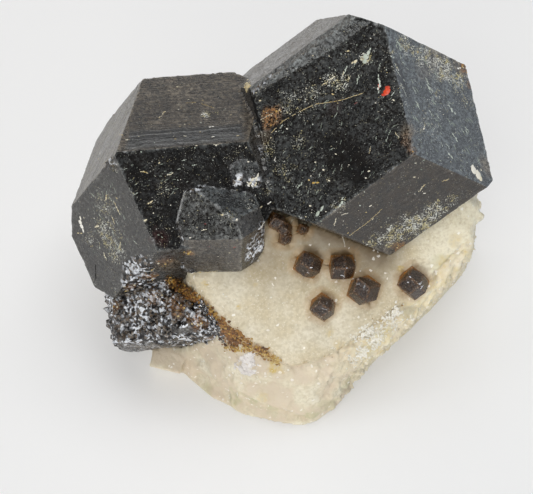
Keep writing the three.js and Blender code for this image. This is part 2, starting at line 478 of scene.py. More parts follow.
def makeBlackGarnet():
    material, tree, shader = newMaterial("andraditeGarnet", blackGarnet["ior"])
    place = addNode(tree, "ShaderNodeTexCoord").outputs["Object"]
    faceMap = addNode(tree, "ShaderNodeUVMap", uv_map="faceMap").outputs[0]
    marks = {name: addNode(tree, "ShaderNodeAttribute", attribute_name=name).outputs["Fac"]
             for name in faceMarks + spotMarks + ("broken", "edge")}
    clouds = {name: addNode(tree, "ShaderNodeTexNoise", {
        "Vector": place, "Scale": perMm(size), "Detail": detail, "Roughness": 0.6}).outputs["Fac"]
        for name, (size, detail) in blackGarnet["clouds"].items()}
    broad, mottle, grain = clouds["broad"], clouds["mottle"], clouds["grain"]
    earthy = addNode(tree, "ShaderNodeMath", {
        0: marks["brown"], 1: weighed(tree, [marks["warm"], 0.7])}, operation="MAXIMUM").outputs[0]
    colour = layered(tree, linear(blackGarnet["body"]), blackGarnet["smoke"], broad)
    colour = layered(tree, colour, blackGarnet["brown"], earthy, (clouds["earth"], 0.3, 0.65))
    colour = layered(tree, colour, blackGarnet["ruddy"], marks["ruddy"], (mottle, 0.35, 0.6))

    # growth grooves along the face
    across = addNode(tree, "ShaderNodeSeparateXYZ", {0: faceMap}).outputs["Y"]
    lane = weighed(tree, [across, 1 / blackGarnet["grooveWidth"]],
                   [clouds["sway"], blackGarnet["grooveSway"]])
    lines = addNode(tree, "ShaderNodeTexNoise", {"W": lane, "Scale": 1.0, "Detail": 2.0},
                    noise_dimensions="1D").outputs["Fac"]
    # painted shade: the grooves keep little film, so they look shaded
    shadedGrooves = weighed(tree, [marks["grooves"], (lines, 0.54, 0.40)])

    # a thin pale film, cloudy and mottled; thin in the grooves as painted shade, thick on the ridges as
    # painted light, and thicker on worn edges, partly a painted edge highlight
    patchy = weighed(tree, [(mottle, 0.42, 0.64), (broad, 0.28, 0.6)], [(grain, 0.48, 0.66), 0.6])
    film = weighed(tree, [marks["film"], patchy, weighed(tree, [shadedGrooves, -0.4], [1.0])],
                   [marks["brown"], patchy, 0.3],
                   [marks["grooves"], (lines, 0.52, 0.68), (broad, 0.25, 0.6), 0.4],
                   [marks["edge"], (mottle, 0.35, 0.6), 0.6])
    film = addNode(tree, "ShaderNodeMath", {
        0: film, 1: blackGarnet["thickestFilm"]}, operation="MINIMUM").outputs[0]
    warmth = addNode(tree, "ShaderNodeMath", {
        0: marks["warm"], 1: marks["brown"]}, operation="MAXIMUM").outputs[0]
    filmColour = layered(tree, linear(blackGarnet["coolFilm"]), blackGarnet["warmFilm"], warmth)
    colour = layered(tree, colour, filmColour, film)

    # bright ragged specks in clumps, dense where the face sparkles
    fleck = weighed(tree, [clouds["speckle"]], [(clouds["clump"], 0.38, 0.62), marks["specks"], 0.075],
                    [marks["sparkle"], 0.22])
    speck = weighed(tree, [(fleck, 0.70, 0.80)])
    speckColour = layered(tree, linear(blackGarnet["speck"]), blackGarnet["yellowSpeck"],
                          (clouds["tint"], 0.42, 0.6))
    colour = layered(tree, colour, speckColour, speck)

    # breaks: small glinting facets, black, brown and silver, the pale ones painted glints, and rust over all
    bendSize, bendReach = blackGarnet["facetBend"]
    bent = addNode(tree, "ShaderNodeVectorMath", {
        0: addNode(tree, "ShaderNodeTexNoise", {"Vector": place, "Scale": perMm(bendSize)}).outputs["Color"],
        1: [bendReach * mm] * 3, 2: place}, operation="MULTIPLY_ADD").outputs[0]
    facet, tones = tiltedFacets(tree, bent, blackGarnet["facetSize"])
    tone = weighed(tree, [broad, blackGarnet["toneSpread"]], [tones["Red"]],
                   [-blackGarnet["toneMiddle"] * blackGarnet["toneSpread"]])
    glints = addNode(tree, "ShaderNodeValToRGB", {"Fac": tone}, stops=blackGarnet["broken"]).outputs["Color"]
    colour = layered(tree, colour, glints, marks["broken"])
    stain = weighed(tree, [marks["rust"], (weighed(tree, [mottle, grain]), 0.17, 0.32)])
    stainColour = layered(tree, linear(blackGarnet["rust"]), blackGarnet["ochre"], (grain, 0.4, 0.62))
    colour = layered(tree, colour, stainColour, stain)

    coated = addNode(tree, "ShaderNodeMath", {0: film, 1: speck}, operation="MAXIMUM").outputs[0]
    rough = weighed(tree, [blackGarnet["roughness"]], [grain, 0.16],
                    [(clouds["dull"], 0.44, 0.6), (broad, 0.3, 0.55), marks["tooth"], 0.5],
                    [coated, 0.3], [stain, 0.5], [shadedGrooves, 0.2])
    relief = weighed(tree, [lines, marks["grooves"], blackGarnet["grooveDepth"] * mm],
                     [mottle, marks["tooth"], blackGarnet["toothDepth"] * mm],
                     [facet, marks["broken"], blackGarnet["facetSlope"]])
    linkLooks(tree, shader, colour, relief, rough)
    return material


cluster = {
    "grain": 0.30,             # mm between mesh points
    "smallestFace": 3.0,       # square mm, below which a flat is part of the broken stub
    "sameWay": 0.9999,         # cosine between faces of one plane, and how many mm they may lie apart
    "sameLevel": 0.02,
    "edgeReach": 0.19,         # mm, points this near to a crystal edge move onto it
    "edgeWidth": 0.34,         # mm of pale wear beside an edge, partly a painted edge highlight
    "wear": 0.10,              # mm that an edge is worn back at most
    "wearSize": 1.4,           # mm between worn and fresh stretches
    "wearNoise": (1.2, 0.45),              # how far the noise changes the wear, and the wear without it
    "leastWear": 0.1,
    "swell": 0.02,             # mm that a grown face rises and falls
    "swellSize": 3.0,
    "ridgeLength": 4.5,        # mm, growth ridges on the most grooved face
    "ridgeWidth": 0.8,
    "ridgeHeight": 0.12,
    "facets": (0.9, 0.09, 0.3),            # mm across a facet of the stub, mm of height, slope
    "shallow": 0.5,            # share of that relief on breaks in the grown faces
    "raggedSize": 0.9,         # mm, noise that frays the rims of spots and patches
    "raggedReach": 2.5,        # photo pixels
    "breakRim": 3.0,
    "patchRim": 2.0,
    "clumpSize": 2.5,          # mm between clumps of loose flakes
    "clumpSpan": (-0.15, 0.5),             # noise where a clump starts and is full
    "clumpGain": 2,
}
crystalFaces = {               # a photo pixel on the face, one that its grooves run to, and its faceMarks
    "rightFront": ((330, 130), (352, 70), (0.2, 0.2, 1.0, 0.0, 0.15)),
    "rightSide": ((440, 110), (462, 80), (0.5, 0.0, 0.9, 0.1, 0.5)),
    "rightBelow": ((400, 200), (430, 180), (0.03, 0.9, 0.9, 0.2, 1.0)),
    "rightUpper": ((290, 48), (330, 22), (0.5, 0.8, 0.2, 0.5, 0.6)),
    "rightBevel": ((300, 54), (330, 33), (0.7, 0.2, 0.5, 0.0, 1.0)),
    "seamFlank": ((250, 105), (256, 120), (0.0, 0.1, 0.2, 0.1, 0.3)),
    "leftTop": ((185, 110), (235, 106), (0.46, 1.0, 0.7, 0.35, 0.4)),
    "leftFront": ((150, 190), (168, 178), (0.1, 0.2, 1.0, 0.0, 0.12)),
    "leftUpper": ((100, 145), (120, 105), (0.85, 0.75, 0.6, 0.8, 0.15)),
    "leftLower": ((100, 230), (108, 200), (0.18, 0.4, 1.0, 0.2, 0.8)),
    "frontFront": ((215, 215), (228, 205), (0.38, 0.3, 1.0, 0.0, 0.5)),
    "frontAbove": ((235, 196), (245, 198), (0.4, 0.1, 1.0, 0.0, 0.7)),
    "frontBelow": ((215, 255), (235, 255), (0.3, 0.8, 0.4, 0.2, 0.5)),
}
otherFaces = (0.2, 0.5, 0.7, 0.2, 0.5)
facePatches = {                # outline and soft rim in photo pixels, a pixel on the face, mm of rise, marks
    "dimpledStrip": ([(253, 83), (347, 18), (372, 22), (337, 48), (256, 94)], 2, (330, 46), -0.08,
                     {"film": 0.65, "tooth": 1.0}),
    "striations": ([(128, 128), (243, 122), (248, 142), (122, 153)], 6, (185, 137), 0.0,
                   {"grooves": 1.2, "film": 0.0, "warm": 0.3}),
    "purplePlate": ([(230, 166), (240, 157), (258, 160), (259, 178), (244, 184), (231, 178)], 3, (244, 170),
                    0.1, {"film": 0.4, "tooth": 0.6}),
    "edgeSliver": ([(390, 54), (398, 62), (404, 74), (409, 97), (405, 99), (396, 76)], 1, (405, 85), -0.05,
                   {"film": 0.0, "specks": 0.4, "tooth": 0.1}),
    "darkFront": ([(310, 130), (352, 122), (384, 160), (360, 200), (322, 176)], 16, (345, 160), 0.0,
                  {"film": 0.05, "specks": 0.3}),
}
brokenPatches = [              # outline in photo pixels, and how broken the garnet is there
    ([(120, 262), (141, 253), (154, 262), (157, 284), (140, 300), (122, 296)], 1.0),
    ([(246, 243), (262, 224), (270, 226), (267, 247), (253, 264), (244, 262)], 0.9),
    ([(114, 344), (150, 341), (188, 344), (188, 356), (114, 356)], 0.35),
    ([(166, 330), (185, 326), (203, 329), (201, 335), (180, 336)], 0.0),
]
clusterSpots = {               # photo pixel, radius in mm, strength
    "rust": [
        ((272, 116), 1.5, 0.9), ((267, 124), 1.0, 0.7), ((115, 306), 0.8, 0.8), ((150, 276), 1.3, 0.7),
        ((130, 287), 1.0, 0.6), ((172, 281), 1.3, 0.9), ((190, 294), 1.2, 0.9), ((208, 306), 1.2, 0.9),
        ((222, 322), 1.2, 0.9), ((152, 298), 1.5, 0.4), ((176, 306), 1.8, 0.6), ((200, 318), 1.8, 0.7),
        ((214, 336), 1.5, 0.6), ((463, 68), 0.9, 0.9), ((470, 85), 0.8, 0.5), ((398, 246), 1.2, 0.7),
        ((408, 140), 1.2, 0.25), ((412, 150), 0.8, 0.3), ((165, 262), 1.4, 0.4), ((190, 253), 0.7, 0.7),
    ],
    "splinters": [
        ((136, 272), 1.8, 1.0), ((254, 181), 1.2, 1.0), ((258, 246), 1.2, 0.8), ((262, 228), 1.0, 0.8),
    ],
    "broken": [
        ((239, 180), 0.8, 1.0), ((254, 181), 1.1, 0.9), ((262, 228), 1.0, 0.8), ((113, 166), 0.8, 0.8),
        ((258, 150), 1.0, 0.6),
    ],
    "ruddy": [((158, 238), 1.5, 0.9), ((165, 258), 1.3, 0.7), ((170, 80), 1.0, 0.5), ((335, 108), 1.2, 0.4)],
    "brown": [
        ((440, 62), 3.0, 0.8), ((425, 70), 2.0, 0.4), ((150, 348), 4.0, 1.0), ((130, 345), 2.0, 1.0),
        ((180, 346), 3.0, 1.0), ((487, 165), 1.6, 0.8), ((460, 66), 2.2, 0.9), ((395, 245), 2.5, 0.9),
        ((408, 130), 1.6, 0.8), ((262, 140), 1.8, 0.8), ((180, 90), 3.0, 0.8), ((165, 265), 2.5, 0.9),
    ],
    "sparkle": [
        ((405, 44), 1.8, 0.75), ((423, 55), 2.4, 0.8), ((442, 66), 2.6, 0.9), ((457, 80), 2.0, 0.8),
        ((468, 100), 1.6, 0.5), ((440, 100), 2.5, 0.35), ((430, 130), 2.5, 0.3), ((395, 235), 2.6, 0.85),
        ((415, 225), 2.8, 0.9), ((434, 212), 2.2, 0.75), ((450, 200), 1.5, 0.5), ((378, 241), 1.8, 0.7),
        ((393, 52), 0.5, 0.7), ((397, 68), 0.5, 0.8), ((402, 86), 0.5, 0.6), ((405, 104), 0.4, 0.5),
        ((206, 114), 0.9, 0.9), ((217, 113), 0.5, 0.8), ((108, 232), 2.6, 0.6), ((114, 248), 2.4, 0.65),
        ((104, 206), 2.4, 0.55), ((92, 240), 1.8, 0.5), ((114, 168), 1.0, 0.7), ((330, 78), 1.6, 0.6),
        ((268, 150), 1.5, 0.5), ((366, 57), 1.0, 1.0), ((290, 105), 2.2, 0.45), ((312, 95), 2.0, 0.45),
        ((343, 82), 1.5, 0.6), ((285, 170), 2.0, 0.4), ((270, 187), 1.5, 0.5), ((341, 206), 1.5, 0.5),
        ((300, 140), 1.5, 0.4), ((165, 190), 1.6, 0.3), ((200, 205), 1.0, 0.3), ((230, 215), 1.2, 0.4),
    ],
}


def samePlane(work, number):  # the CAD faces in one plane with a face
    chosen = work.faces[number]
    start = chosen.verts[0].co
    return [face.index for face in work.faces if face.normal.dot(chosen.normal) > cluster["sameWay"]
            and abs((face.verts[0].co - start).dot(chosen.normal)) < cluster["sameLevel"] * mm]


def faceZones(work, surface):  # for each CAD face: its marks, and the two ways that its face map runs
    zones = []
    for face in work.faces:
        level = face.normal.cross(Vector((0, 0, 1)))
        along = level.normalized() if level.length > 0.05 else Vector((1, 0, 0))
        zones.append((otherFaces, along, face.normal.cross(along)))
    for pixel, toward, marks in crystalFaces.values():
        place, normal, number = pixelHit(surface, pixel)
        along = (pixelOnPlane(toward, place, normal) - place).normalized()
        for i in samePlane(work, number):
            zones[i] = (marks, along, normal.cross(along))
    return [np.array([zone[i] for zone in zones]) for i in range(3)]


def mapFaces(mesh, points, ways, owners):  # each grown face's own map in mm, along and across its grooves
    corners = np.zeros(len(mesh.loops), int)
    mesh.loops.foreach_get("vertex_index", corners)
    sizes = np.zeros(len(mesh.polygons), int)
    mesh.polygons.foreach_get("loop_total", sizes)
    flat = np.stack([(points[corners] * way[np.repeat(owners, sizes)]).sum(1) for way in ways], axis=1) / mm
    mesh.uv_layers.new(name="faceMap").data.foreach_set("uv", flat.ravel())


def makeCluster(material):
    work = mergedNode("garnet_cluster")
    surface = BVHTree.FromBMesh(work)
    mesh = evenMesh("garnetCluster", work, cluster["grain"] * (1))
    areas = flatAreas(work)
    points, normals, numbers = nearestOn(surface, getVectors(mesh.vertices, "co"))[:3]
    ends = sharpEdges(work, areas, cluster["smallestFace"])
    edgeGap = snapToEdges(mesh, points, ends, cluster["edgeReach"])
    rounded = getVectors(mesh.vertices, "normal")

    ragged = noiseAt(points, cluster["raggedSize"], 4.0)
    frayed = np.stack([ragged, noiseAt(points, cluster["raggedSize"], 6.0)], axis=1)
    pixels = pixelsOf(points) + cluster["raggedReach"] * frayed
    stub = (areas[numbers] < cluster["smallestFace"]).astype(float)
    broken = np.maximum(stub, spotShare(points, surface, clusterSpots["broken"], ragged))
    for outline, strength in brokenPatches:
        broken = broken + (strength - broken) * insideOutline(pixels, outline, cluster["breakRim"])
    relief = facetRelief(points, normals, cluster["facets"], 7) * broken
    relief *= np.where(stub > 0, 1.0, cluster["shallow"])
    relief += noiseAt(points, cluster["swellSize"], 2.0) * cluster["swell"] * mm * (1 - stub)

    faceValues, *ways = faceZones(work, surface)
    grooved = faceValues[numbers, faceMarks.index("grooves")]
    lanes = np.stack([(points * way[numbers]).sum(1) / size for way, size in zip(
        ways, (cluster["ridgeLength"], cluster["ridgeWidth"]))] + [np.zeros(len(points))], axis=1)
    relief += noiseAt(lanes, 1.0, 7.0) * cluster["ridgeHeight"] * mm * grooved ** 3
    centres = getVectors(mesh.polygons, "center")
    owners = nearestOn(surface, centres)[2]
    centrePixels = pixelsOf(centres)
    values = faceValues[owners]
    for outline, feather, pixel, height, marks in facePatches.values():
        plane = samePlane(work, pixelHit(surface, pixel)[2])
        relief += insideOutline(pixels, outline, cluster["patchRim"]) * np.isin(numbers, plane) * height * mm
        share = insideOutline(centrePixels, outline, feather) * np.isin(owners, plane)
        for name, value in marks.items():
            column = values[:, faceMarks.index(name)]
            column += (value - column) * share
    setMarks(mesh, dict(zip(faceMarks, values.T)), "FACE")
    mapFaces(mesh, points, ways, owners)

    edge = smoothStep(cluster["edgeWidth"] * mm, 0, edgeGap) * (1 - stub)
    change, usual = cluster["wearNoise"]
    worn = edge * np.clip(noiseAt(points, cluster["wearSize"], 3.0) * change + usual, cluster["leastWear"], 1)
    points += rounded * (relief - worn * cluster["wear"] * mm)[:, None]
    setPoints(mesh, points)
    spots = {name: spotShare(points, surface, clusterSpots[name], ragged)
             for name in spotMarks + ("splinters",)}
    clumped = smoothStep(*cluster["clumpSpan"], noiseAt(points, cluster["clumpSize"], 8.0))
    clumped *= cluster["clumpGain"]
    specks = faceValues[numbers, faceMarks.index("specks")]
    setMarks(mesh, spots)
    setMarks(mesh, {"broken": broken, "edge": worn, "flakes": clumped * (1 - stub) * specks,
                    "crumbs": spots["rust"]})
    mesh.shade_smooth()
    mesh.set_sharp_from_angle(angle=math.radians(crease))
    mesh.materials.append(material)
    work.free()
    print("cluster", len(mesh.vertices), "points,", len(ends), "crystal edges")
    return addPiece("garnetCluster", mesh, "black_garnet", "garnet_cluster")


clusterPiece = makeCluster(makeBlackGarnet())


# sugary calcite: cream white, slightly see-through, grainy on its broken sides, stained along the ledges

calcite = {
    "glint": "#fffaf2",
    "white": "#f0e8d2",
    "cream": "#d8c8a2",
    "veil": "#b9aa85",
    # painted shade below the large crystals
    "umber": "#766347",
    "rust": "#5f3d1a",
    "ochre": "#b08238",
    "yellow": "#c9ab45",
    "green": "#b3b384",
    "lilac": "#dfd0b8",
    "amber": "#a5804a",
    # pale frost of the sugary band, and the painted light of the glowing right rim
    "frost": "#f3ecd4",
    "ior": 1.6,
    "roughness": 0.5,
    "glintGloss": 0.2,         # by which a glinting facet is less rough
    "subsurface": 0.3,
    "scatter": (1.0, 0.9, 0.75),
    "scatterReach": 0.9,       # mm
    "clouds": {"broad": (3.2, 5.0), "grain": (0.4, 3.0), "speckle": (0.2, 2.0)},    # size in mm and detail
    "sparkleSize": 0.3,        # mm across a facet that catches the light
    "sparkleSlope": 0.4,
    "toothDepth": (0.03, 0.07),            # mm, on the smooth front, and what the breaks add
    "grain": 0.255,            # mm between mesh points
    "frontWay": (0.11, -0.24, 0.965),      # the way that the smooth front faces, along the picture's axes
    "frontSpan": (0.44, 0.66),             # facing it this much, the breaks turn into the smooth front
    "seenSpan": (0.1, 0.3),
    "frontRelief": 0.4,        # share of the fine relief on the smooth front
    "belowSpan": (0, 5),       # photo pixels below the ledge, where the front gets rough
    "belowRough": 0.75,
    "baseHeight": 0.12,        # mm, points below lie on the flat base
    "calmFoot": 1.3,           # mm above the base, below which the relief fades
    "haloReach": (1.0, 0.6),   # mm of amber stain around the small garnets
    "halo": 0.42,
    "haloNearer": 0.01,        # mm by which a stained point is nearer to a small garnet than to the cluster
    "contactReach": 0.75,      # mm, points this near to a garnet close up to it
    "contactFull": 0.55,       # share of that reach within which they touch it
    "contactCalm": (0.6, 1.6),             # shares of it where the relief starts and is full
    "contactSink": 0.06,
    "facets": (1.5, 0.14, 0.28),           # mm across a cleavage facet on the breaks, mm of height, slope
    "crumbs": (0.6, 0.035, 0.28),          # the same for sugary crumbs
    "fine": ((0.12, 1.1, 1.0), (0.07, 0.5, 5.0)),      # mm of height and size, and shift of the noise
    "ledgeStep": (0.55, (-1, 4), (60, 20)),            # mm down, and photo pixels where it starts and ends
    "terraceStep": (0.9, (-1, 3), (45, 20)),
    "waxySpan": (345, 305),    # photo pixels across, where the break below the ledge turns smooth and waxy
    "waxyCalm": 0.65,
    "blockCalm": 0.9,          # share of the relief that the cleavage block at the left goes without
    "blockRim": 6,
    "raggedSize": 0.8,         # mm, noise that frays the stains
    "raggedReach": 5,          # photo pixels
    "bandSpans": ((0, 4), (60, 40), (0.5, 0.65)),      # pale band: pixels below the ledge, shares along it
    "bandYellow": (0.25, 0.5),             # strength, and how far the ragged noise changes it
    "bandFrost": 0.8,
    "bandGrains": 0.15,
    "stainSpans": ((7, 0), (0.02, 0.06), (0.15, 0.4)),     # its rust: pixels to each side, shares along it
    "stainDrop": 1,            # photo pixels from the ledge to the middle of its rust
    "stainFade": 0.75,         # share of the rust that the ledge's far end goes without
    "stainMottle": (0.6, 0.8),             # strength, and how far the ragged noise changes it
    "crustSpan": (7, 1),
    "shade": 0.95,
    "shadeReach": (0.8, 4.0),  # mm below the large crystals where their shade starts, and how it fades
    "shadeFray": 0.6,          # mm
    "shadeLeft": (225, 300),   # photo pixels across
    "leftShade": 0.3,          # share of the shade that stays there
    "shadeRight": (425, 375),
    "frontShade": 0.16,        # on the smooth front, where the rim doesn't glow
    "glowSpan": (395, 440),
    "glowFrost": 0.75,
}
# photo pixels along the rusty crust, the ledge and the terrace, and around the block
crustLine = [(166, 277), (184, 290), (204, 305), (219, 320), (231, 333), (247, 343), (266, 354)]
ledgeLine = [
    (222, 322), (240, 338), (262, 355), (290, 366), (310, 362), (335, 352), (365, 330), (390, 310),
    (415, 292), (432, 275),
]
terraceLine = [(200, 372), (215, 381), (240, 394), (262, 405), (285, 412)]
cleavageBlock = [(140, 342), (196, 342), (196, 388), (140, 388)]
calciteSpots = {               # photo pixel, radius in mm, strength
    "yellow": [
        ((275, 370), 1.3, 1.0), ((436, 288), 0.8, 0.8), ((330, 333), 0.6, 0.5), ((239, 307), 0.4, 0.8),
        ((400, 269), 0.5, 0.9), ((340, 345), 0.9, 0.4), ((445, 262), 1.2, 0.5), ((255, 285), 0.4, 0.5),
        ((205, 284), 0.5, 0.6), ((350, 355), 0.8, 0.5), ((262, 400), 1.0, 0.4), ((455, 240), 1.2, 0.4),
    ],
    "green": [
        ((230, 402), 2.0, 0.7), ((250, 407), 1.6, 0.8), ((310, 416), 1.4, 0.7), ((325, 405), 1.3, 0.4),
        ((370, 352), 1.5, 0.4), ((385, 335), 1.5, 0.35), ((410, 315), 1.5, 0.3), ((350, 385), 2.0, 0.5),
        ((331, 406), 1.6, 0.5), ((440, 262), 1.5, 0.3), ((205, 392), 1.5, 0.5), ((270, 415), 1.6, 0.6),
    ],
    "rust": [
        ((234, 336), 1.3, 1.0), ((226, 347), 0.9, 0.8), ((246, 345), 1.2, 1.0), ((258, 351), 1.1, 0.9),
        ((269, 357), 0.9, 0.8), ((278, 361), 0.7, 0.6), ((232, 348), 1.0, 0.7), ((182, 286), 0.9, 0.8),
        ((305, 364), 0.5, 0.5), ((340, 350), 0.5, 0.4),
    ],
    "grains": [
        ((248, 364), 1.1, 1.0), ((240, 372), 0.7, 0.7), ((232, 294), 1.5, 0.25), ((262, 300), 1.8, 0.15),
        ((282, 303), 1.0, 0.4), ((300, 332), 1.5, 0.2), ((332, 344), 1.5, 0.3), ((357, 272), 0.4, 1.0),
        ((192, 273), 0.4, 1.0), ((390, 318), 1.2, 0.7), ((375, 340), 1.2, 0.7),
    ],
}


def makeCalcite():
    material, tree, shader = newMaterial("sugaryCalcite", calcite["ior"])
    place = addNode(tree, "ShaderNodeTexCoord").outputs["Object"]
    marks = {name: addNode(tree, "ShaderNodeAttribute", attribute_name=name).outputs["Fac"]
             for name in ("rough", "rust", "yellow", "green", "shade", "lilac", "amber", "frost")}
    broad, grain, speckle = [addNode(tree, "ShaderNodeTexNoise", {
        "Vector": place, "Scale": perMm(size), "Detail": detail}).outputs["Fac"]
        for size, detail in calcite["clouds"].values()]
    sugar = weighed(tree, [speckle], [(broad, 0.4, 0.6), 0.05])
    patchy = (grain, 0.3, 0.62)
    colour = linear(calcite["white"])
    for name, *shares in (
            ("cream", (broad, 0.35, 0.75)),
            ("veil", (grain, 0.60, 0.36), 0.42),
            ("glint", (sugar, 0.64, 0.74), 0.6),
            ("lilac", marks["lilac"], (broad, 0.4, 0.55)),
            ("frost", marks["frost"], (grain, 0.25, 0.6)),
            ("umber", marks["shade"]),
            ("amber", marks["amber"]),
            ("green", marks["green"], (grain, 0.1, 0.7)),
            ("yellow", marks["yellow"], patchy)):
        colour = layered(tree, colour, calcite[name], *shares)
    stainColour = layered(tree, linear(calcite["rust"]), calcite["ochre"], patchy)
    colour = layered(tree, colour, stainColour, marks["rust"], weighed(tree, [patchy, -0.35], [1.0]))

    # cleavage facets that catch the light, few on the smooth front and many on the breaks
    facet, tones = tiltedFacets(tree, place, calcite["sparkleSize"])
    rarest = weighed(tree, [marks["rough"], -0.025], [0.993])
    shiny = addNode(tree, "ShaderNodeMath", {0: tones["Red"], 1: rarest}, operation="GREATER_THAN").outputs[0]
    colour = layered(tree, colour, calcite["glint"], shiny, 0.6)
    evenDepth, brokenDepth = calcite["toothDepth"]
    relief = weighed(tree, [facet, shiny, calcite["sparkleSlope"]], [grain, marks["rough"], brokenDepth * mm],
                     [grain, evenDepth * mm])
    rough = weighed(tree, [shiny, -calcite["glintGloss"]], [calcite["roughness"]])
    linkLooks(tree, shader, colour, relief, rough)
    shader.inputs["Subsurface Weight"].default_value = calcite["subsurface"]
    shader.inputs["Subsurface Radius"].default_value = calcite["scatter"]
    shader.inputs["Subsurface Scale"].default_value = calcite["scatterReach"] * mm
    return material


def makeMatrix(material):
    work = mergedNode("matrix")
    surface = BVHTree.FromBMesh(work)
    mesh = evenMesh("calciteMatrix", work, calcite["grain"] * (1))
    points = getVectors(mesh.vertices, "co")
    normals = getVectors(mesh.vertices, "normal")
    pixels = pixelsOf(points)
    across = pixels[:, 0]
    facing = normals @ np.array(lean @ Vector(calcite["frontWay"]).normalized())
    ledge, along = lineGap(pixels, ledgeLine)
    terrace = lineGap(pixels, terraceLine)[0]
    below = smoothStep(*calcite["belowSpan"], ledge)
    smoothFront = smoothStep(*calcite["frontSpan"], facing) * (1 - calcite["belowRough"] * below)
    visible = smoothStep(*calcite["seenSpan"], facing)
    onBase = points[:, 2] < calcite["baseHeight"] * mm
    garnets = bmesh.new()
    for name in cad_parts:
        if name != "matrix":
            garnets.from_mesh(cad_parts[name].data)
    places, garnetNormals, _, gaps = nearestOn(BVHTree.FromBMesh(garnets), points)
    garnets.free()
    largeGaps = nearestOn(nodeSurface("garnet_cluster"), points)[3]
    nearSmall = gaps < largeGaps - calcite["haloNearer"] * mm

    # broken facets with crumbs, calm on the smooth front, stepped down below the ledge and the terrace
    facets = evened(mesh, facetRelief(points, normals, calcite["facets"], 11))
    facets += facetRelief(points, normals, calcite["crumbs"], 12)
    fine = sum(height * noiseAt(points, size, shift) for height, size, shift in calcite["fine"]) * mm
    waxy = below * visible * smoothStep(*calcite["waxySpan"], across)
    relief = (1 - smoothFront) * (facets * (1 - calcite["waxyCalm"] * waxy) + fine)
    relief += smoothFront * calcite["frontRelief"] * fine
    for gap, (drop, start, end) in ((ledge, calcite["ledgeStep"]), (terrace, calcite["terraceStep"])):
        relief -= visible * drop * mm * smoothStep(*start, gap) * smoothStep(*end, gap)
    relief *= 1 - calcite["blockCalm"] * insideOutline(pixels, cleavageBlock, calcite["blockRim"])
    relief *= smoothStep(calcite["baseHeight"] * mm, calcite["calmFoot"] * mm, points[:, 2])

    # close contact with the garnets
    reach = calcite["contactReach"] * mm
    calm = [reach * share for share in calcite["contactCalm"]]
    points += normals * (relief * smoothStep(*calm, gaps))[:, None]
    close = smoothStep(reach, reach * calcite["contactFull"], gaps) * ~onBase
    points += (places - garnetNormals * calcite["contactSink"] * mm - points) * close[:, None]
    points[:, 2] = np.maximum(points[:, 2], 0)
    points[onBase, 2] = 0
    setPoints(mesh, points)

    # stains along the ledge and the crust, painted shade below the large crystals, and spots
    ragged = noiseAt(points, calcite["raggedSize"], 9.0)
    frayed = calcite["raggedReach"] * ragged
    spots = {name: spotShare(points, surface, rows, ragged) for name, rows in calciteSpots.items()}
    top, foot, start = calcite["bandSpans"]
    band = visible * smoothStep(*top, ledge) * smoothStep(*start, along) * smoothStep(*foot, ledge)
    width, start, end = calcite["stainSpans"]
    stain = smoothStep(*width, np.abs(ledge - calcite["stainDrop"]) - frayed)
    stain *= 1 - calcite["stainFade"] * smoothStep(*end, along)
    usual, change = calcite["stainMottle"]
    stain *= visible * (usual + change * ragged) * smoothStep(*start, along)
    crust = smoothStep(*calcite["crustSpan"], np.abs(lineGap(pixels, crustLine)[0]) - frayed) * visible
    rust = np.clip(np.maximum.reduce([spots["rust"], stain, crust]), 0, 1)
    shadeStart, shadeFade = calcite["shadeReach"]
    depth = largeGaps + calcite["shadeFray"] * mm * ragged - shadeStart * mm
    shade = calcite["shade"] * np.exp(-np.maximum(depth, 0) / (shadeFade * mm))
    shade *= calcite["leftShade"] + (1 - calcite["leftShade"]) * smoothStep(*calcite["shadeLeft"], across)
    shade *= smoothStep(*calcite["shadeRight"], across)
    # painted light: the right rim of the front paler, as if lit through from that side
    glow = smoothStep(*calcite["glowSpan"], across) * visible
    halo = [distance * mm for distance in calcite["haloReach"]]
    usual, change = calcite["bandYellow"]
    setMarks(mesh, {
        "rough": np.maximum(1 - smoothFront, band),
        "rust": rust,
        "yellow": np.clip(np.maximum(spots["yellow"], band * (usual + change * ragged)), 0, 1),
        "green": spots["green"],
        "shade": np.maximum(shade, calcite["frontShade"] * smoothFront * (1 - glow)) * visible,
        "frost": np.maximum(calcite["bandFrost"] * band, calcite["glowFrost"] * glow),
        "amber": calcite["halo"] * smoothStep(*halo, gaps) * nearSmall,
        "lilac": below * visible,
        "grains": np.maximum(spots["grains"], calcite["bandGrains"] * band) * ~onBase,
        "crumbs": rust * ~onBase})
    mesh.shade_smooth()
    mesh.materials.append(material)
    work.free()
    print("matrix", len(mesh.vertices), "points")
    return addPiece("calciteMatrix", mesh, "calcite", "matrix")


matrixPiece = makeMatrix(makeCalcite())


# small brown garnets: glossy, dark brown, letting a little light through at the rims

brownGarnet = {
    "core": "#180c08",
    "rim": "#6b4a2a",
    "amber": "#b87a30",
    "glint": "#c9bfae",
    "ior": 1.58,               # dusty faces mirror less than fresh garnet's 1.74
    "roughness": 0.08,
    "toothSize": 0.35,         # mm
    "toothDepth": 0.16,
    "speckSize": 0.15,
    "grain": 0.09,             # mm between mesh points
    "edgeReach": 0.058,        # mm, points this near to a crystal edge move onto it
    "edgeWidth": 0.30,         # mm of lighter brown along an edge
    "palestFace": 0.25,        # share of that brown on the faces
    "wear": 0.04,
    "amberReach": (1.25, 0.35),            # mm from the calcite where light comes through, first and most
    "tinyGlow": 0.35,          # share of that glow in the tiny ones, which lie in shade
}


